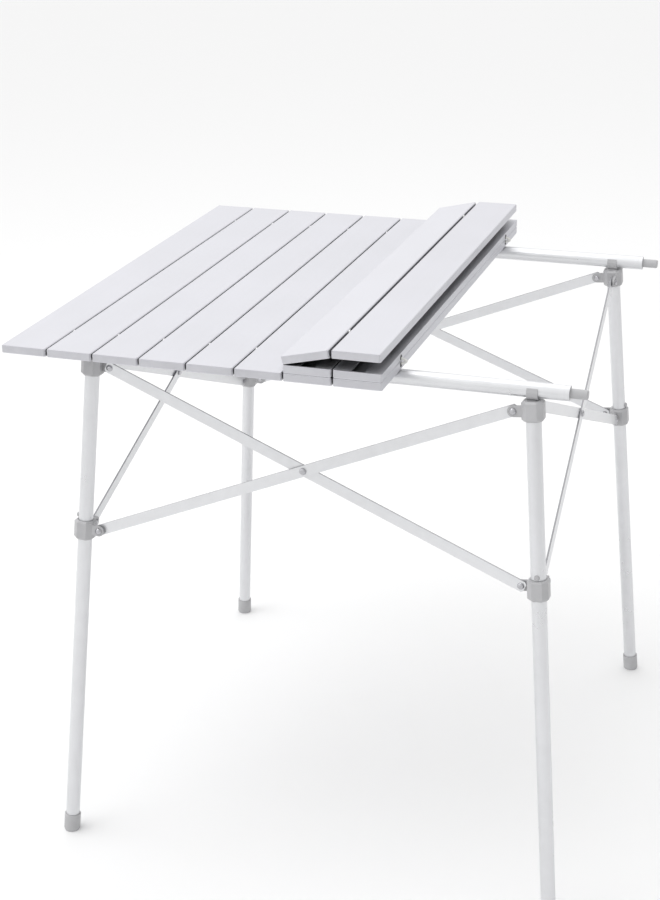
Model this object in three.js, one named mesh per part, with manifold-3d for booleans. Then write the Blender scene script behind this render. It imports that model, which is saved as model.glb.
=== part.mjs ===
// Roll-top folding camping table: twelve aluminium slats on two rails, carried by four splayed
// tube legs that are joined on every side by a pair of crossed braces.
// Millimetres, +Z up. The origin is on the floor under the middle of the overall size. X runs along
// the rails, Y along the slats, and the front of the table faces -Y.
import * as THREE from 'three';
import { mergeVertices } from 'three/addons/utils/BufferGeometryUtils.js';
import Module from 'manifold-3d';

const wasm = await Module();
wasm.setup();

// Driving dimensions
const TABLE_HEIGHT = 683;
const SLAT_COUNT = 12;
const SLAT_PITCH = 700 / SLAT_COUNT;
const SLAT_GAP = 1.8;
const SLAT_LENGTH = 686;
const SLAT_THICKNESS = 9.4;
const SLAT_WALL = 1.6;
const SLAT_LIP = 20;
const SLAT_EDGE = 1;
const SLAT_CORNER = 1.5;
const SLAT_END_WALL = 2.5;
const FLAT_SLATS = 8;
const TUBE_RADIUS = 9;
const TUBE_WALL = 1.2;
const LEG_HALF_SPACING = 266; // from the middle to a leg's axis, at the height of the table top
const LEG_SPLAY = 0.081; // outward run of a leg per unit of height, in X and in Y alike
const HUB_DROP = 42.2; // from the table top down to the hub rivets
const SLIDER_DROP = 210.4; // from a hub down to its slider, along the leg
const HUB_REACH = 22; // from a leg's axis to a hub rivet
const SLIDER_REACH = 21; // from a leg's axis to a slider rivet
const COLLAR_WIDTH = 25;
const COLLAR_CHAMFER = 5;
const COLLAR_BEVEL = 2.4;
const HUB_COLLAR = { top: 12.4, bottom: -11.6 };
const SLIDER_COLLAR = { top: 10.4, bottom: -14.6 };
const LUG_RADIUS = 6.6;
const LUG_THICKNESS = 3;
const HUB_PLAY = 1.4; // room between a hub's outer lug and its brace
const SLIDER_PLAY = 2.1; // the same room at a slider, which turns a little as the frame folds
const BRACE_WIDTH = 13.4;
const BRACE_THICKNESS = 2;
const BRACE_END = 5.2; // from an end rivet to the end of its brace
const RIVET_HOLE = 2.4;
const RIVET_SHANK = 2;
const GAP = 0.3; // between pieces that touch
const RAIL_Y = 267;
const RAIL_END = 309.5;
const SADDLE_LENGTH = 12.5;
const SADDLE_WALL = 2;
const SADDLE_RISE = 4.4; // height of the saddle's walls above the rail's axis
const PIN_RADIUS = 5.6;
const PIN_LENGTH = 20;
const RAIL_GROOVE = { fromEnd: 4.5, width: 0.8, depth: 0.3 };
const SOCKET_HEIGHT = 13;
const FOOT_RADIUS = 10.6;
const FOOT_HEIGHT = 24;
const FOOT_FLOOR = 5; // from the floor to the end of the leg's tube
const ROUND = 24; // sides of a tube
const SIDE_SHIFT = 9.6; // puts the origin under the middle of the overall width

// Sizes that follow from them
const SLAT_WIDTH = SLAT_PITCH - SLAT_GAP;
const HALF_TOP = (SLAT_PITCH * SLAT_COUNT) / 2;
const HUB_HEIGHT = TABLE_HEIGHT - HUB_DROP;
const HUB_AXIS = LEG_HALF_SPACING + LEG_SPLAY * HUB_DROP;
const RAIL_Z = TABLE_HEIGHT - SLAT_THICKNESS - GAP - TUBE_RADIUS;
const LEG_TILT = Math.atan(Math.SQRT2 * LEG_SPLAY);
const SIDE_LEAN = Math.atan(LEG_SPLAY);
const LEG_LENGTH = HUB_HEIGHT / Math.cos(LEG_TILT);

const looks = {
  slat: { color: 0xe6e6ec, roughness: 0.38, metalness: 0.55 },
  tube: { color: 0xdcdde0, roughness: 0.3, metalness: 0.8 },
  brace: { color: 0xd2d3d6, roughness: 0.35, metalness: 0.8 },
  plastic: { color: 0xaeb0b4, roughness: 0.55, metalness: 0 },
  rivet: { color: 0xcfd0d3, roughness: 0.2, metalness: 1 },
};

// Solids

function toSolid(geometry) {
  const bare = geometry.clone();
  bare.deleteAttribute('normal');
  bare.deleteAttribute('uv');
  const merged = mergeVertices(bare, 1e-4);
  return new wasm.Manifold(new wasm.Mesh({
    numProp: 3,
    vertProperties: new Float32Array(merged.attributes.position.array),
    triVerts: new Uint32Array(merged.index.array),
  }));
}

function toGeometry(solid) {
  const mesh = solid.getMesh();
  const geometry = new THREE.BufferGeometry();
  geometry.setAttribute('position', new THREE.BufferAttribute(mesh.vertProperties, 3));
  geometry.setIndex(new THREE.BufferAttribute(mesh.triVerts, 1));
  geometry.computeVertexNormals();
  return geometry;
}

function polygon(points) {
  return new THREE.Shape(points.map(([x, y]) => new THREE.Vector2(x, y)));
}

// An outline drawn in X and Z, extruded along Y from near to far
function alongY(shape, near, far, curveSegments = 8) {
  const geometry = new THREE.ExtrudeGeometry(shape, { depth: far - near, bevelEnabled: false, curveSegments });
  return geometry.rotateX(Math.PI / 2).translate(0, far, 0);
}

// An outline drawn in Y and Z, extruded along X from near to far
function alongX(shape, near, far, curveSegments = 8) {
  return alongY(shape, -far, -near, curveSegments).rotateZ(Math.PI / 2);
}

function cylinder(radius, bottom, top, sides = ROUND) {
  const geometry = new THREE.CylinderGeometry(radius, radius, top - bottom, sides);
  return geometry.rotateX(Math.PI / 2).translate(0, 0, (top + bottom) / 2);
}

function box(low, high) {
  const size = high.map((value, axis) => value - low[axis]);
  const middle = high.map((value, axis) => (value + low[axis]) / 2);
  return new THREE.BoxGeometry(...size).translate(...middle);
}

function tube(bottom, top) {
  const outer = toSolid(cylinder(TUBE_RADIUS, bottom, top));
  const inner = toSolid(cylinder(TUBE_RADIUS - TUBE_WALL, bottom - 1, top + 1));
  return toGeometry(outer.subtract(inner));
}

// Scene graph

const table = new THREE.Group();

function part(parent, name, geometry, look) {
  const mesh = new THREE.Mesh(geometry, new THREE.MeshStandardMaterial(looks[look]));
  mesh.name = name;
  parent.add(mesh);
  return mesh;
}

function group(parent) {
  const child = new THREE.Group();
  parent.add(child);
  return child;
}

// Slats: an inverted tray with lips along its open underside and a wall at each end.
// The slat's own origin is on its top face, in the middle.

function slatOutline() {
  const half = SLAT_WIDTH / 2;
  return [
    [-half, -SLAT_THICKNESS],
    [half, -SLAT_THICKNESS],
    [half, -SLAT_EDGE],
    [half - SLAT_EDGE, 0],
    [-half + SLAT_EDGE, 0],
    [-half, -SLAT_EDGE],
  ];
}

function slatGeometry() {
  const half = SLAT_WIDTH / 2;
  const end = SLAT_LENGTH / 2;
  const outer = toSolid(alongY(polygon(slatOutline()), -end, end));
  const inside = toSolid(box(
    [-half + SLAT_WALL, -end + SLAT_END_WALL, -SLAT_THICKNESS + SLAT_WALL],
    [half - SLAT_WALL, end - SLAT_END_WALL, -SLAT_WALL],
  ));
  const mouth = toSolid(box(
    [-half + SLAT_LIP, -end + SLAT_END_WALL, -SLAT_THICKNESS - 1],
    [half - SLAT_LIP, end - SLAT_END_WALL, -SLAT_THICKNESS / 2],
  ));
  const plan = new THREE.ExtrudeGeometry(polygon([
    [-half + SLAT_CORNER, -end], [half - SLAT_CORNER, -end], [half, -end + SLAT_CORNER],
    [half, end - SLAT_CORNER], [half - SLAT_CORNER, end], [-half + SLAT_CORNER, end],
    [-half, end - SLAT_CORNER], [-half, -end + SLAT_CORNER],
  ]), { depth: SLAT_THICKNESS + 2, bevelEnabled: false });
  plan.translate(0, 0, -SLAT_THICKNESS - 1);
  return toGeometry(outer.intersect(toSolid(plan)).subtract(inside).subtract(mouth));
}

// A socket hangs under an end slat and takes a rail's end pin from above. Its origin is on the
// slat's underside, over the rail.
function socketGeometry() {
  const half = 10;
  const slot = PIN_RADIUS + GAP;
  const pinDrop = SLAT_THICKNESS + RAIL_Z - TABLE_HEIGHT;
  const outline = new THREE.Shape();
  outline.moveTo(-half, -SOCKET_HEIGHT);
  outline.lineTo(-slot, -SOCKET_HEIGHT);
  outline.lineTo(-slot, pinDrop);
  outline.absarc(0, pinDrop, slot, Math.PI, 0, true);
  outline.lineTo(slot, -SOCKET_HEIGHT);
  outline.lineTo(half, -SOCKET_HEIGHT);
  outline.lineTo(half, -GAP);
  outline.lineTo(-half, -GAP);
  const block = toSolid(alongX(outline, -10, 13));
  const base = toSolid(box([-10, -half, -2.8], [22, half, -GAP]));
  return toGeometry(block.add(base));
}

function slatName(number) {
  return `slat_${String(number).padStart(2, '0')}`;
}

function addSlat(number) {
  const frame = group(table);
  part(frame, slatName(number), slatGeometry(), 'slat');
  return frame;
}

// Sockets face the middle of the table with their short side
function addSockets(slat, number, turn) {
  const sides = { front: -RAIL_Y, rear: RAIL_Y };
  for (const [side, y] of Object.entries(sides)) {
    const socket = part(slat, `${slatName(number)}_${side}_socket`, socketGeometry(), 'plastic');
    socket.position.set(0, y, -SLAT_THICKNESS);
    socket.rotation.z = turn;
  }
}

function addTop() {
  const gapX = (count) => -HALF_TOP + SLAT_PITCH * count;
  for (let number = 1; number <= FLAT_SLATS; number += 1) {
    const slat = addSlat(number);
    slat.position.set(gapX(number) - SLAT_PITCH / 2, 0, TABLE_HEIGHT);
    if (number === 1) addSockets(slat, number, Math.PI);
  }
  // The last four slats are folded back: two lie upside down on the flat ones
  for (const number of [FLAT_SLATS + 1, FLAT_SLATS + 2]) {
    const slat = addSlat(number);
    slat.position.set(gapX(2 * FLAT_SLATS - number) + SLAT_PITCH / 2, 0, TABLE_HEIGHT + GAP);
    slat.rotation.y = Math.PI;
  }
  // The next one leans up to the right, and the last lies level on its sockets
  const underside = -SLAT_THICKNESS - GAP / 2;
  const lean = Math.asin(SOCKET_HEIGHT / SLAT_PITCH);
  const leaning = addSlat(FLAT_SLATS + 3);
  leaning.rotation.y = -lean;
  const foldX = gapX(FLAT_SLATS - 2);
  const foldZ = TABLE_HEIGHT + GAP - underside;
  const reach = new THREE.Vector3(SLAT_PITCH / 2, 0, -underside).applyEuler(leaning.rotation);
  leaning.position.set(foldX, 0, foldZ).add(reach);
  const last = addSlat(SLAT_COUNT);
  last.position.set(
    foldX + SLAT_PITCH * Math.cos(lean) + SLAT_PITCH / 2,
    0,
    foldZ + SOCKET_HEIGHT - underside,
  );
  addSockets(last, SLAT_COUNT, 0);
}

// Rails: a tube with a stepped plug in each end

function plugGeometry() {
  const insert = TUBE_RADIUS - TUBE_WALL - GAP;
  const profile = [
    [0, -14],
    [insert, -14],
    [insert, -0.5],
    [insert - 0.5, 0],
    [PIN_RADIUS, 0],
    [PIN_RADIUS, PIN_LENGTH - 1],
    [PIN_RADIUS - 1, PIN_LENGTH],
    [0, PIN_LENGTH],
  ];
  return new THREE.LatheGeometry(profile.map(([r, h]) => new THREE.Vector2(r, h)), ROUND);
}

// A tube with a groove near each end
function railGeometry() {
  const bottom = TUBE_RADIUS - RAIL_GROOVE.depth;
  const inner = TUBE_RADIUS - TUBE_WALL;
  const start = RAIL_END - RAIL_GROOVE.fromEnd;
  const half = [
    [TUBE_RADIUS, start - RAIL_GROOVE.width],
    [bottom, start - RAIL_GROOVE.width],
    [bottom, start],
    [TUBE_RADIUS, start],
    [TUBE_RADIUS, RAIL_END],
    [inner, RAIL_END],
  ];
  const mirrored = half.map(([r, h]) => [r, -h]).reverse();
  const profile = [...mirrored, ...half, mirrored[0]];
  return new THREE.LatheGeometry(profile.map(([r, h]) => new THREE.Vector2(r, h)), ROUND);
}

function addRail(side, y) {
  const rail = group(table);
  rail.position.set(0, y, RAIL_Z);
  part(rail, `${side}_rail`, railGeometry(), 'tube').rotation.z = Math.PI / 2;
  for (const [end, direction] of [['left', -1], ['right', 1]]) {
    const plug = part(rail, `${side}_rail_${end}_plug`, plugGeometry(), 'plastic');
    plug.position.x = direction * RAIL_END;
    plug.rotation.z = (-direction * Math.PI) / 2;
  }
}

// Leg pieces, in the leg's own frame: +Z up the leg, the origin level with the hub's rivets,
// +X towards one neighbouring leg and +Y towards the other

function collar(levels, bore) {
  const half = COLLAR_WIDTH / 2 - COLLAR_BEVEL;
  const cut = half - COLLAR_CHAMFER;
  const outline = polygon([
    [-half, -cut], [-cut, -half], [cut, -half], [half, -cut],
    [half, cut], [cut, half], [-cut, half], [-half, cut],
  ]);
  const geometry = new THREE.ExtrudeGeometry(outline, {
    depth: levels.top - levels.bottom - 2 * COLLAR_BEVEL,
    bevelThickness: COLLAR_BEVEL,
    bevelSize: COLLAR_BEVEL,
    bevelSegments: 1,
  });
  geometry.translate(0, 0, levels.bottom + COLLAR_BEVEL);
  return toSolid(geometry).subtract(toSolid(cylinder(TUBE_RADIUS + GAP, levels.bottom - 1, bore)));
}

// A lug's outline, from the collar's wall out to a round end about the rivet
function lugOutline(reach) {
  const outline = new THREE.Shape();
  outline.moveTo(COLLAR_WIDTH / 2 - 2, -LUG_RADIUS);
  outline.lineTo(reach, -LUG_RADIUS);
  outline.absarc(reach, 0, LUG_RADIUS, -Math.PI / 2, Math.PI / 2, false);
  outline.lineTo(COLLAR_WIDTH / 2 - 2, LUG_RADIUS);
  const hole = new THREE.Path();
  hole.absarc(reach, 0, RIVET_HOLE, 0, 2 * Math.PI, true);
  outline.holes.push(hole);
  return outline;
}

// Two lugs, one for each side of the frame. A lug for an outer brace stands outside both braces
// of its side, and a lug for an inner brace stands inside both.
const INNER = BRACE_THICKNESS + 1.5 * GAP;
const HUB_OUTER = -BRACE_THICKNESS - HUB_PLAY - LUG_THICKNESS;
const SLIDER_OUTER = -BRACE_THICKNESS - SLIDER_PLAY - LUG_THICKNESS;

function lugs(reach, layerOnX, layerOnY) {
  const onX = toSolid(alongY(lugOutline(reach), layerOnX, layerOnX + LUG_THICKNESS, 6));
  const onY = toSolid(alongX(lugOutline(reach), layerOnY, layerOnY + LUG_THICKNESS, 6));
  return onX.add(onY);
}

// The saddle that holds a rail from below, drawn about the rail's axis, with its stem
function saddle() {
  const inner = TUBE_RADIUS + GAP;
  const outer = inner + SADDLE_WALL;
  const outline = new THREE.Shape();
  outline.moveTo(-outer, SADDLE_RISE);
  outline.absarc(0, 0, outer, Math.PI, 2 * Math.PI, false);
  outline.lineTo(outer, SADDLE_RISE);
  outline.lineTo(inner, SADDLE_RISE);
  outline.absarc(0, 0, inner, 0, -Math.PI, true);
  outline.lineTo(-inner, SADDLE_RISE);
  const half = SADDLE_LENGTH / 2;
  const clip = toSolid(alongX(outline, -half, half, 12));
  const stem = toSolid(box([-half, -7, -13.4], [half, 7, -inner - 1]));
  return clip.add(stem);
}

const corners = ['front_left', 'front_right', 'rear_right', 'rear_left'];

function legFrame(index) {
  const turned = group(table);
  turned.rotation.z = (index * Math.PI) / 2;
  const leg = group(turned);
  leg.position.set(-HUB_AXIS, -HUB_AXIS, HUB_HEIGHT);
  leg.quaternion.setFromAxisAngle(new THREE.Vector3(-1, 1, 0).normalize(), LEG_TILT);
  leg.updateWorldMatrix(true, false);
  return leg;
}

function hubGeometry(leg) {
  const center = new THREE.Vector3().setFromMatrixPosition(leg.matrixWorld);
  const place = new THREE.Matrix4().makeTranslation(
    Math.sign(center.x) * (HUB_AXIS - 1),
    Math.sign(center.y) * RAIL_Y,
    RAIL_Z,
  );
  const intoLeg = leg.matrixWorld.clone().invert().multiply(place);
  const clip = toSolid(toGeometry(saddle()).applyMatrix4(intoLeg));
  const body = collar(HUB_COLLAR, HUB_COLLAR.top - 4).add(lugs(HUB_REACH, INNER, HUB_OUTER));
  return toGeometry(body.add(clip));
}

function footGeometry(leg) {
  const profile = [
    [0, -4],
    [FOOT_RADIUS - 2, -4],
    [FOOT_RADIUS, 2],
    [FOOT_RADIUS, FOOT_HEIGHT - 1],
    [FOOT_RADIUS - 0.7, FOOT_HEIGHT],
    [0, FOOT_HEIGHT],
  ];
  const lathe = new THREE.LatheGeometry(profile.map(([r, h]) => new THREE.Vector2(r, h)), ROUND);
  const cap = lathe.rotateX(Math.PI / 2).translate(0, 0, -LEG_LENGTH);
  const bore = cylinder(TUBE_RADIUS + GAP, FOOT_FLOOR - LEG_LENGTH, FOOT_HEIGHT + 1 - LEG_LENGTH);
  const reach = 2 * HALF_TOP;
  const above = box([-reach, -reach, 0], [reach, reach, TABLE_HEIGHT]);
  above.applyMatrix4(leg.matrixWorld.clone().invert());
  return toGeometry(toSolid(cap).subtract(toSolid(bore)).intersect(toSolid(above)));
}

function addLeg(corner, index) {
  const leg = legFrame(index);
  const bottom = FOOT_FLOOR + GAP - LEG_LENGTH;
  part(leg, `${corner}_leg_tube`, tube(bottom, HUB_COLLAR.top - 4 - GAP), 'tube');
  part(leg, `${corner}_hub`, hubGeometry(leg), 'plastic');
  part(leg, `${corner}_foot`, footGeometry(leg), 'plastic');
  const block = collar(SLIDER_COLLAR, SLIDER_COLLAR.top + 1);
  const slider = block.add(lugs(SLIDER_REACH, SLIDER_OUTER, INNER));
  part(leg, `${corner}_slider`, toGeometry(slider), 'plastic').position.z = -SLIDER_DROP;
  return leg;
}

// Braces: two flat bars on each side of the frame, crossed at a rivet. In a bar's own frame the
// rivet is at the origin, and the bar runs along X, up to a hub at +X and down to a slider at -X.

function braceGeometry(up, down) {
  const half = BRACE_WIDTH / 2;
  const left = -down - BRACE_END;
  const right = up + BRACE_END;
  const cut = 2.4;
  const outline = polygon([
    [left, -half + cut], [left + cut, -half], [right - cut, -half], [right, -half + cut],
    [right, half - cut], [right - cut, half], [left + cut, half], [left, half - cut],
  ]);
  for (const x of [-down, 0, up]) {
    const hole = new THREE.Path();
    hole.absarc(x, 0, RIVET_HOLE, 0, 2 * Math.PI, true);
    outline.holes.push(hole);
  }
  return alongY(outline, 0, BRACE_THICKNESS, 6);
}

function rivetGeometry() {
  const outside = 2 * BRACE_THICKNESS + 3 * GAP;
  const profile = [
    [0, -1.8],
    [3, -1.8],
    [4, -0.8],
    [4, 0],
    [RIVET_SHANK, 0],
    [RIVET_SHANK, outside],
    [4.4, outside],
    [4, outside + 1.3],
    [2.4, outside + 2.1],
    [0, outside + 2.4],
  ];
  const lathe = new THREE.LatheGeometry(profile.map(([r, h]) => new THREE.Vector2(r, h)), 16);
  return lathe.rotateX(Math.PI).translate(0, outside / 2, 0);
}

function addSide(side, index, leg) {
  const hubRivet = new THREE.Vector3(HUB_REACH, 0, 0).applyMatrix4(leg.matrixWorld);
  const sliderRivet = new THREE.Vector3(SLIDER_REACH, 0, -SLIDER_DROP).applyMatrix4(leg.matrixWorld);
  const drop = Math.hypot(hubRivet.z - sliderRivet.z, hubRivet.y - sliderRivet.y);
  const span = -hubRivet.x - sliderRivet.x;
  const length = Math.hypot(span, drop);
  const angle = Math.atan2(drop, span);
  const up = (length * -hubRivet.x) / span;
  const turned = group(table);
  turned.rotation.z = (index * Math.PI) / 2;
  const plane = group(turned);
  plane.rotation.x = -SIDE_LEAN;
  plane.position.set(0, -HUB_AXIS, HUB_HEIGHT);
  const cross = group(plane);
  const hubBelowAxis = (HUB_HEIGHT - hubRivet.z) / Math.cos(SIDE_LEAN);
  cross.position.z = -hubBelowAxis - up * Math.sin(angle);
  const rising = part(cross, `${side}_outer_brace`, braceGeometry(up, length - up), 'brace');
  rising.position.y = -BRACE_THICKNESS - GAP / 2;
  rising.rotation.y = -angle;
  const falling = part(cross, `${side}_inner_brace`, braceGeometry(up, length - up), 'brace');
  falling.position.y = GAP / 2;
  falling.rotation.y = Math.PI + angle;
  part(cross, `${side}_brace_rivet`, rivetGeometry(), 'rivet');
}

addTop();
addRail('front', -RAIL_Y);
addRail('rear', RAIL_Y);
const legs = corners.map(addLeg);
['front', 'right', 'rear', 'left'].forEach((side, index) => addSide(side, index, legs[0]));

const whole = new THREE.Group();
table.position.x = SIDE_SHIFT;
whole.add(table);

export default whole;
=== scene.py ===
"""Roll-top folding camping table, standing open with part of its top folded back."""
import math

import bmesh
import bpy
from mathutils import Matrix, Vector


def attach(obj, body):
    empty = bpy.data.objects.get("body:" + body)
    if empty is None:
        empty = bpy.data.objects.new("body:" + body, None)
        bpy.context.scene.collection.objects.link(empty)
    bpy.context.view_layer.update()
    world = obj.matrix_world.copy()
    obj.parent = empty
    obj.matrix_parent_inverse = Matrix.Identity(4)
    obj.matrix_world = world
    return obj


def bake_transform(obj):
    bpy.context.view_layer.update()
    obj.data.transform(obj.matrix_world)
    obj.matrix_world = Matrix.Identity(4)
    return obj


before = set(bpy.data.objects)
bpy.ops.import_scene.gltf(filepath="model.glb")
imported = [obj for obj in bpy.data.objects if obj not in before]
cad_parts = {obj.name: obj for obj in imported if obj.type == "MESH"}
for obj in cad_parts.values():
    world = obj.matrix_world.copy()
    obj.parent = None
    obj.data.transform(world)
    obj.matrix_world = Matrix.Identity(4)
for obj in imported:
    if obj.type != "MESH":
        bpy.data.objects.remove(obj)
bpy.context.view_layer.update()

MM = 0.001

# Sizes in metres, as in the CAD model
TOP = 0.683
THICK = 0.0094
GAP = 0.0003
PITCH = 0.7 / 12
SLAT_GAP = 0.0018
SLAT_END = 0.343
SHIFT = 0.0096
HUB_DROP = 0.0422
HUB_Z = TOP - HUB_DROP
LEG_SPLAY = 0.081
HUB_AXIS = 0.266 + LEG_SPLAY * HUB_DROP
LEG_TILT = math.atan(math.sqrt(2) * LEG_SPLAY)
HUB_REACH = 0.022
SLIDER_REACH = 0.021
SLIDER_DROP = 0.2104
SOCKET_HEIGHT = 0.013
CORD_Y = 0.267
SLAT_BODY = {7: "tabletop", 8: "tabletop", 9: "stack", 10: "stack"}


# Materials -----------------------------------------------------------------------------------

def new_material(name):
    mat = bpy.data.materials.new(name)
    mat.use_nodes = True
    nodes, links = mat.node_tree.nodes, mat.node_tree.links
    return mat, nodes, links, nodes["Principled BSDF"]


def add_node(nodes, kind, **inputs):
    node = nodes.new(kind)
    for key, value in inputs.items():
        node.inputs[key.replace("_", " ")].default_value = value
    return node


def ramp(nodes, links, source, low, high, start=0.0, end=1.0):
    """Maps a 0..1 value to a range of numbers."""
    node = nodes.new("ShaderNodeMapRange")
    node.inputs["From Min"].default_value = start
    node.inputs["From Max"].default_value = end
    node.inputs["To Min"].default_value = low
    node.inputs["To Max"].default_value = high
    links.new(source, node.inputs["Value"])
    return node.outputs["Result"]


def multiply(nodes, links, color, factor):
    """Multiplies a colour, given as three numbers or as a socket, by a socket's value."""
    mix = nodes.new("ShaderNodeMix")
    mix.data_type = "RGBA"
    mix.blend_type = "MULTIPLY"
    mix.inputs["Factor"].default_value = 1.0
    if isinstance(color, tuple):
        mix.inputs["A"].default_value = (*color, 1)
    else:
        links.new(color, mix.inputs["A"])
    links.new(factor, mix.inputs["B"])
    return mix.outputs["Result"]


def shade_hollows(nodes, links, color, reach, floor):
    """Darkens a colour inside hollows and narrow gaps, down to floor times itself."""
    hollow = nodes.new("ShaderNodeAmbientOcclusion")
    hollow.samples = 8
    hollow.inputs["Distance"].default_value = reach
    open_part = ramp(nodes, links, hollow.outputs["AO"], floor, 1.0, 0.1, 0.6)
    return multiply(nodes, links, color, open_part)


def add_relief(nodes, links, bsdf, height, strength, depth):
    """Bumps a surface by a texture's height."""
    relief = add_node(nodes, "ShaderNodeBump", Strength=strength, Distance=depth)
    links.new(height, relief.inputs["Height"])
    links.new(relief.outputs["Normal"], bsdf.inputs["Normal"])


def metal(name, color, roughness, grain, bump, spread=0.05, metallic=1.0, hollow=None):
    """Metal with a drawn grain. grain is the noise scale along X, Y and Z, and hollow is the reach
    and the floor of the shading in hollows."""
    mat, nodes, links, bsdf = new_material(name)
    bsdf.inputs["Metallic"].default_value = metallic
    coords = nodes.new("ShaderNodeTexCoord")
    scale = nodes.new("ShaderNodeMapping")
    scale.inputs["Scale"].default_value = grain
    links.new(coords.outputs["Object"], scale.inputs["Vector"])
    lines = add_node(nodes, "ShaderNodeTexNoise", Scale=1.0, Detail=3.0, Roughness=0.55)
    links.new(scale.outputs["Vector"], lines.inputs["Vector"])
    cloud = add_node(nodes, "ShaderNodeTexNoise", Scale=9.0, Detail=2.0)
    links.new(coords.outputs["Object"], cloud.inputs["Vector"])
    both = nodes.new("ShaderNodeMath")
    both.operation = "ADD"
    links.new(lines.outputs["Fac"], both.inputs[0])
    links.new(cloud.outputs["Fac"], both.inputs[1])
    rough = ramp(nodes, links, both.outputs[0], roughness - spread, roughness + spread, 0.7, 1.3)
    links.new(rough, bsdf.inputs["Roughness"])
    shade = ramp(nodes, links, both.outputs[0], 0.97, 1.03, 0.7, 1.3)
    shown = multiply(nodes, links, color, shade)
    if hollow:
        shown = shade_hollows(nodes, links, shown, *hollow)
    links.new(shown, bsdf.inputs["Base Color"])
    add_relief(nodes, links, bsdf, lines.outputs["Fac"], bump, 0.0002)
    return mat


PLASTIC_BUMP = 0.06


def plastic(name, color, roughness):
    """Moulded plastic with a fine spark-eroded surface."""
    mat, nodes, links, bsdf = new_material(name)
    coords = nodes.new("ShaderNodeTexCoord")
    fine = add_node(nodes, "ShaderNodeTexNoise", Scale=900.0, Detail=2.0)
    cloud = add_node(nodes, "ShaderNodeTexNoise", Scale=45.0, Detail=3.0)
    for texture in (fine, cloud):
        links.new(coords.outputs["Object"], texture.inputs["Vector"])
    shade = ramp(nodes, links, cloud.outputs["Fac"], 0.94, 1.06, 0.3, 0.7)
    links.new(multiply(nodes, links, color, shade), bsdf.inputs["Base Color"])
    rough = ramp(nodes, links, cloud.outputs["Fac"], roughness - 0.05, roughness + 0.05, 0.3, 0.7)
    links.new(rough, bsdf.inputs["Roughness"])
    add_relief(nodes, links, bsdf, fine.outputs["Fac"], PLASTIC_BUMP, 0.0001)
    return mat


def cord_material(name, color):
    """Braided elastic cord."""
    mat, nodes, links, bsdf = new_material(name)
    bsdf.inputs["Roughness"].default_value = 0.8
    coords = nodes.new("ShaderNodeTexCoord")
    braid = add_node(nodes, "ShaderNodeTexVoronoi", Scale=1100.0)
    links.new(coords.outputs["Object"], braid.inputs["Vector"])
    shade = ramp(nodes, links, braid.outputs["Distance"], 1.0, 0.85)
    links.new(multiply(nodes, links, color, shade), bsdf.inputs["Base Color"])
    add_relief(nodes, links, bsdf, braid.outputs["Distance"], 0.4, 0.0003)
    return mat


slat_metal = metal("slat_metal", (0.585, 0.585, 0.62), 0.45, (900, 6, 900), bump=0.05, metallic=0.6,
                   hollow=(0.025, 0.12))
tube_metal = metal("tube_metal", (0.68, 0.685, 0.70), 0.32, (60, 60, 60), bump=0.01, metallic=0.75)
brace_metal = metal("brace_metal", (0.70, 0.705, 0.72), 0.34, (80, 80, 80), bump=0.02, metallic=0.75)
# Painted shade for the brace edges: a darker, rougher copy of the brace metal
edge_shade_metal = metal("edge_shade_metal", (0.30, 0.30, 0.315), 0.5, (400, 400, 400), bump=0.08, metallic=0.75)
rivet_metal = metal("rivet_metal", (0.46, 0.46, 0.48), 0.16, (300, 300, 300), bump=0.01, spread=0.03,
                    hollow=(0.004, 0.3))
fitting_plastic = plastic("fitting_plastic", (0.41, 0.41, 0.42), 0.40)
foot_plastic = plastic("foot_plastic", (0.42, 0.42, 0.43), 0.50)
cap_plastic = plastic("cap_plastic", (0.50, 0.50, 0.53), 0.45)
bead_plastic = plastic("bead_plastic", (0.86, 0.86, 0.86), 0.35)
# Black for the painted shade of the cord holes in the slat walls
hole_shade_plastic = plastic("hole_shade_plastic", (0.03, 0.03, 0.03), 0.55)
cord_white = cord_material("cord_white", (0.83, 0.83, 0.80))


# CAD nodes -----------------------------------------------------------------------------------

def look_of(node):
    if "socket" in node or "plug" in node or node.endswith(("_hub", "_slider")):
        return fitting_plastic
    if node.startswith("slat"):
        return slat_metal
    if node.endswith("_foot"):
        return foot_plastic
    if node.endswith("_rivet"):
        return rivet_metal
    if node.endswith("_brace"):
        return brace_metal
    return tube_metal


# A brace's faces stand upright but for its edges, which get a rougher metal with painted shade: a
# darker copy of the brace colour.
EDGE_SLOPE = 0.3
SMOOTH_UP_TO = math.radians(32)
BEVELS = {slat_metal: 0.0004, fitting_plastic: 0.0005, brace_metal: 0.0003}

for node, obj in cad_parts.items():
    look = look_of(node)
    obj.data.materials.clear()
    obj.data.materials.append(look)
    # The brace edges get the darker metal of painted shade
    if look == brace_metal:
        obj.data.materials.append(edge_shade_metal)
    for face in obj.data.polygons:
        face.use_smooth = True
        if look == brace_metal and abs(face.normal.z) > EDGE_SLOPE:
            face.material_index = 1
    if look in BEVELS:
        bevel = obj.modifiers.new("bevel", "BEVEL")
        bevel.width = BEVELS[look]
        bevel.segments = 2
        bevel.limit_method = "ANGLE"
        bevel.angle_limit = math.radians(35)
    split = obj.modifiers.new("split", "EDGE_SPLIT")
    split.split_angle = SMOOTH_UP_TO


# Added pieces --------------------------------------------------------------------------------

def piece(name, bm, material, body=None, place=None):
    """A named object from a bmesh, moved to its place and riding on a body."""
    mesh = bpy.data.meshes.new(name)
    bm.to_mesh(mesh)
    bm.free()
    obj = bpy.data.objects.new(name, mesh)
    bpy.context.scene.collection.objects.link(obj)
    mesh.materials.append(material)
    for face in mesh.polygons:
        face.use_smooth = True
    mesh.set_sharp_from_angle(angle=math.radians(40))
    if place is not None:
        mesh.transform(place)
    if body:
        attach(obj, body)
    return obj


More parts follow.
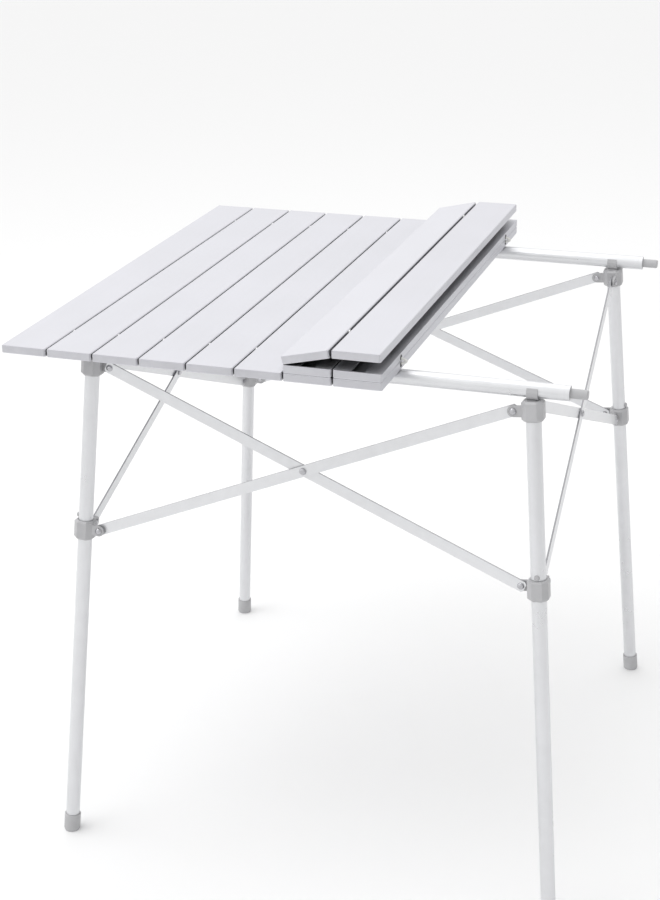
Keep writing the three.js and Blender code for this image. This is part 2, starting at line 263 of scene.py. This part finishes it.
def lathe(profile, steps=24):
    """A closed solid turned about Z from (radius, height) points that start and end on the axis."""
    bm = bmesh.new()
    rings = []
    for radius, height in profile:
        if radius == 0:
            rings.append([bm.verts.new((0, 0, height))])
        else:
            turns = [2 * math.pi * i / steps for i in range(steps)]
            ring = [(radius * math.cos(t), radius * math.sin(t), height) for t in turns]
            rings.append([bm.verts.new(point) for point in ring])
    for low, high in zip(rings, rings[1:]):
        for i in range(steps):
            j = (i + 1) % steps
            corners = [low[i % len(low)], low[j % len(low)], high[j % len(high)], high[i % len(high)]]
            bm.faces.new(list(dict.fromkeys(corners)))
    bmesh.ops.recalc_face_normals(bm, faces=bm.faces)
    return bm


def block(size, bevel):
    """A box about the origin, with its edges rounded."""
    bm = bmesh.new()
    bmesh.ops.create_cube(bm, size=1.0)
    bmesh.ops.scale(bm, vec=size, verts=bm.verts)
    bmesh.ops.bevel(bm, geom=bm.edges[:], offset=bevel, segments=2, affect="EDGES")
    return bm


def tube_along(points, radius, steps=10):
    """A closed tube along a smooth line of points in one plane of constant Y."""
    bm = bmesh.new()
    rings = []
    for index, point in enumerate(points):
        before = points[max(index - 1, 0)]
        after = points[min(index + 1, len(points) - 1)]
        along = (after - before).normalized()
        side = Vector((0, 1, 0))
        up = along.cross(side).normalized()
        ring = []
        for step in range(steps):
            turn = 2 * math.pi * step / steps
            ring.append(bm.verts.new(point + radius * (math.cos(turn) * side + math.sin(turn) * up)))
        rings.append(ring)
    for low, high in zip(rings, rings[1:]):
        for i in range(steps):
            j = (i + 1) % steps
            bm.faces.new([low[i], low[j], high[j], high[i]])
    bm.faces.new(rings[0])
    bm.faces.new(rings[-1])
    bmesh.ops.recalc_face_normals(bm, faces=bm.faces)
    return bm


def curve_points(a, b, bulge, count=13):
    """Points from a to b that bow out by bulge in the middle."""
    points = []
    for index in range(count):
        t = index / (count - 1)
        points.append(a.lerp(b, t) + bulge * math.sin(math.pi * t) ** 0.8)
    return points


def gap_x(count):
    """X of the gap to the right of a flat slat."""
    return -0.35 + PITCH * count + SHIFT


def slat_matrix(number):
    """Place of a slat's own frame, with its origin in the middle of its top face."""
    if number <= 8:
        return Matrix.Translation((gap_x(number) - PITCH / 2, 0, TOP))
    if number <= 10:
        move = Matrix.Translation((gap_x(16 - number) + PITCH / 2, 0, TOP + GAP))
        return move @ Matrix.Rotation(math.pi, 4, "Y")
    lean = math.asin(SOCKET_HEIGHT / PITCH)
    fold = Vector((gap_x(6), 0, TOP + GAP + THICK + GAP / 2))
    if number == 11:
        turn = Matrix.Rotation(-lean, 4, "Y")
        return Matrix.Translation(fold) @ turn @ Matrix.Translation((PITCH / 2, 0, THICK + GAP / 2))
    x = fold.x + PITCH * math.cos(lean) + PITCH / 2
    return Matrix.Translation((x, 0, fold.z + SOCKET_HEIGHT + THICK + GAP / 2))


def body_of_slat(number):
    return SLAT_BODY.get(number, f"slat_{number:02d}")


# Slat end caps
CAP_INSET = 0.0016
CAP_THICKNESS = 0.0008
CAP_SIZE = (PITCH - SLAT_GAP - CAP_INSET, CAP_THICKNESS, THICK - CAP_INSET)
for number in range(1, 13):
    for end, sign in (("front", -1), ("rear", 1)):
        at = Matrix.Translation((0, sign * (SLAT_END - 0.0001), -THICK / 2))
        cap = block(CAP_SIZE, 0.00035)
        piece(f"slat_{number:02d}_{end}_cap", cap, cap_plastic,
              body_of_slat(number), slat_matrix(number) @ at)

# Cords: they run through the slats over the rails, with a bead in each gap
CORD_RADIUS = 0.0015
CORD_LEVEL = -0.0038
CORD_START = 0.005  # from the middle of a gap to where its length of cord starts
LOOP = 0.0105  # how far a cord stands out at a fold
LOOPS = {8: Vector((LOOP, 0, 0)), 10: Vector((-LOOP, 0, 0))}
BEAD = [(0, -0.0007), (0.0029, -0.0007), (0.0032, 0), (0.0029, 0.0007), (0, 0.0007)]
ALONG_X = Matrix.Rotation(math.pi / 2, 4, "Y")


def cord_end(number, side, y):
    """Point on the cord inside a slat, near its left or right wall."""
    return slat_matrix(number) @ Vector((side * (PITCH / 2 - CORD_START), y, CORD_LEVEL))


for end, sign in (("front", -1), ("rear", 1)):
    y = sign * CORD_Y
    for number in range(1, 12):
        a = cord_end(number, 1, y)
        b = cord_end(number + 1, -1, y)
        bodies = (body_of_slat(number), body_of_slat(number + 1))
        points = curve_points(a, b, LOOPS.get(number, Vector()))
        cord = piece(f"cord_{end}_{number:02d}", tube_along(points, CORD_RADIUS), cord_white)
        if bodies[0] == bodies[1]:
            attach(cord, bodies[0])
        else:
            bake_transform(cord)
        if number in LOOPS:
            continue
        at = slat_matrix(number) @ Matrix.Translation((PITCH / 2, y, CORD_LEVEL))
        piece(f"bead_{end}_{number:02d}", lathe(BEAD, 20), bead_plastic,
              bodies[0], at @ ALONG_X)

# Black discs of painted shade in the two slat walls that the cords cross in the open, at the outer
# fold, standing for the dark holes the cords run through
SHADE_DISC = [(0, -0.0004), (0.0031, -0.0004), (0.0031, 0.0003), (0.0027, 0.0005), (0, 0.0005)]
SHADE_DISC_LEVEL = CORD_LEVEL - 0.0004

for end, sign in (("front", -1), ("rear", 1)):
    for number in (8, 9):
        side = 1 if number == 8 else -1
        wall = Vector((side * (PITCH / 2 - SLAT_GAP / 2), sign * CORD_Y, SHADE_DISC_LEVEL))
        turn = Matrix.Rotation(side * math.pi / 2, 4, "Y")
        piece(f"hole_shade_{end}_{number:02d}", lathe(SHADE_DISC, 20), hole_shade_plastic,
              body_of_slat(number), slat_matrix(number) @ Matrix.Translation(wall) @ turn)

# Rivets: one at each end of each brace, through the brace and the lug behind it
CORNERS = ["front_left", "front_right", "rear_right", "rear_left"]
SIDES = ["front", "right", "rear", "left"]


def leg_matrix(index):
    """Place of a leg's own frame, with its origin level with the hub's rivets."""
    turned = Matrix.Translation((SHIFT, 0, 0)) @ Matrix.Rotation(index * math.pi / 2, 4, "Z")
    axis = Vector((-1, 1, 0)).normalized()
    hub = Matrix.Translation((-HUB_AXIS, -HUB_AXIS, HUB_Z))
    return turned @ hub @ Matrix.Rotation(LEG_TILT, 4, axis)


def rivet(front, back):
    """A rivet along Z, with its dome standing on the height front and its tail on the height back."""
    return lathe([
        (0, back - 1.4 * MM), (2.6 * MM, back - 1.4 * MM), (3.3 * MM, back - 0.8 * MM),
        (3.3 * MM, back), (1.2 * MM, back), (1.2 * MM, front),
        (4.2 * MM, front), (4.1 * MM, front + 0.5 * MM), (3.5 * MM, front + 1.3 * MM),
        (2.4 * MM, front + 1.9 * MM), (1.2 * MM, front + 2.2 * MM), (0, front + 2.3 * MM),
    ])


# How far outward the undersides of a rivet's dome and tail lie. An outer brace runs behind its
# lug, and an inner brace in front of its lug.
FACES = {
    ("outer", "hub"): (6.8 * MM, -0.2 * MM),
    ("outer", "slider"): (7.5 * MM, -0.2 * MM),
    ("inner", "hub"): (-0.1 * MM, -5.8 * MM),
    ("inner", "slider"): (-0.1 * MM, -5.8 * MM),
}

# Outward is a leg's -X on one side of the frame and its -Y on the other
FACING_X = Matrix.Rotation(-math.pi / 2, 4, "Y")
FACING_Y = Matrix.Rotation(math.pi / 2, 4, "X")

# A button on each leg stops the slider. Its profile starts inside the tube.
BUTTON_RISE = 14.5 * MM
BUTTON = [
    (0, 6 * MM), (3.4 * MM, 6 * MM), (3.4 * MM, 9.6 * MM), (2.6 * MM, 11.2 * MM), (0, 12.0 * MM),
]

for index, corner in enumerate(CORNERS):
    leg = leg_matrix(index)
    right_side, left_side = SIDES[index], SIDES[index - 1]
    ends = [
        (right_side, "inner", "hub", HUB_REACH, 0, True),
        (left_side, "outer", "hub", HUB_REACH, 0, False),
        (right_side, "outer", "slider", SLIDER_REACH, -SLIDER_DROP, True),
        (left_side, "inner", "slider", SLIDER_REACH, -SLIDER_DROP, False),
    ]
    for side, layer, at, reach, height, along_x in ends:
        spot = Vector((reach, 0, height)) if along_x else Vector((0, reach, height))
        turn = FACING_Y if along_x else FACING_X
        piece(f"{side}_{layer}_{at}_rivet", rivet(*FACES[layer, at]), rivet_metal,
              f"{side}_{layer}_brace", leg @ Matrix.Translation(spot) @ turn)
    button_place = leg @ Matrix.Translation((0, 0, -SLIDER_DROP + BUTTON_RISE)) @ FACING_X
    piece(f"{corner}_stop_button", lathe(BUTTON, 20), fitting_plastic,
          f"{corner}_leg", button_place)


# Stage, lights and camera --------------------------------------------------------------------

floor_mesh = bpy.data.meshes.new("floor")
bm = bmesh.new()
bmesh.ops.create_grid(bm, x_segments=1, y_segments=1, size=12)
bm.to_mesh(floor_mesh)
bm.free()
floor = bpy.data.objects.new("floor", floor_mesh)
bpy.context.scene.collection.objects.link(floor)
floor_mat, _, _, floor_bsdf = new_material("floor")
floor_bsdf.inputs["Base Color"].default_value = (0.86, 0.86, 0.86, 1)
floor_bsdf.inputs["Roughness"].default_value = 0.9
floor_mesh.materials.append(floor_mat)

world = bpy.data.worlds.new("world")
bpy.context.scene.world = world
world.use_nodes = True
sky_nodes, sky_links = world.node_tree.nodes, world.node_tree.links
sky = sky_nodes["Background"]
sky.inputs["Color"].default_value = (1, 1, 1, 1)
direction = sky_nodes.new("ShaderNodeTexCoord")
split_direction = sky_nodes.new("ShaderNodeSeparateXYZ")
sky_links.new(direction.outputs["Generated"], split_direction.inputs[0])
# Brighter on the left than on the right, so that round tubes show their form
strength = ramp(sky_nodes, sky_links, split_direction.outputs["X"], 1.4, 0.62, -0.7, 0.9)
sky_links.new(strength, sky.inputs["Strength"])


def area_light(name, location, target, size, power):
    data = bpy.data.lights.new(name, "AREA")
    data.shape = "SQUARE"
    data.size = size
    data.energy = power
    light = bpy.data.objects.new(name, data)
    light.location = location
    light.rotation_euler = (Vector(target) - Vector(location)).to_track_quat("-Z", "Y").to_euler()
    bpy.context.scene.collection.objects.link(light)


area_light("key", (-1.2, -0.6, 2.9), (0, 0, 0.5), 1.6, 20)
area_light("fill", (2.6, -1.2, 1.8), (0, 0, 0.4), 1.6, 2)
area_light("top", (0.2, 1.2, 3.0), (0, 0, 0.6), 2.0, 10)

camera_data = bpy.data.cameras.new("camera")
camera_data.sensor_fit = "HORIZONTAL"
camera_data.sensor_width = 36
camera_data.lens = 91.41
camera = bpy.data.objects.new("camera", camera_data)
bpy.context.scene.collection.objects.link(camera)
right = Vector((0.94981805, 0.31256134, -0.01229175))
up = Vector((-0.1085514, 0.36621242, 0.92417805))
back = right.cross(up)
turned = Matrix((right, up, back)).transposed().to_4x4()
camera.matrix_world = Matrix.Translation((0.6152, -1.9874, 1.3135)) @ turned
bpy.context.scene.camera = camera

bpy.context.scene.view_settings.view_transform = "Standard"
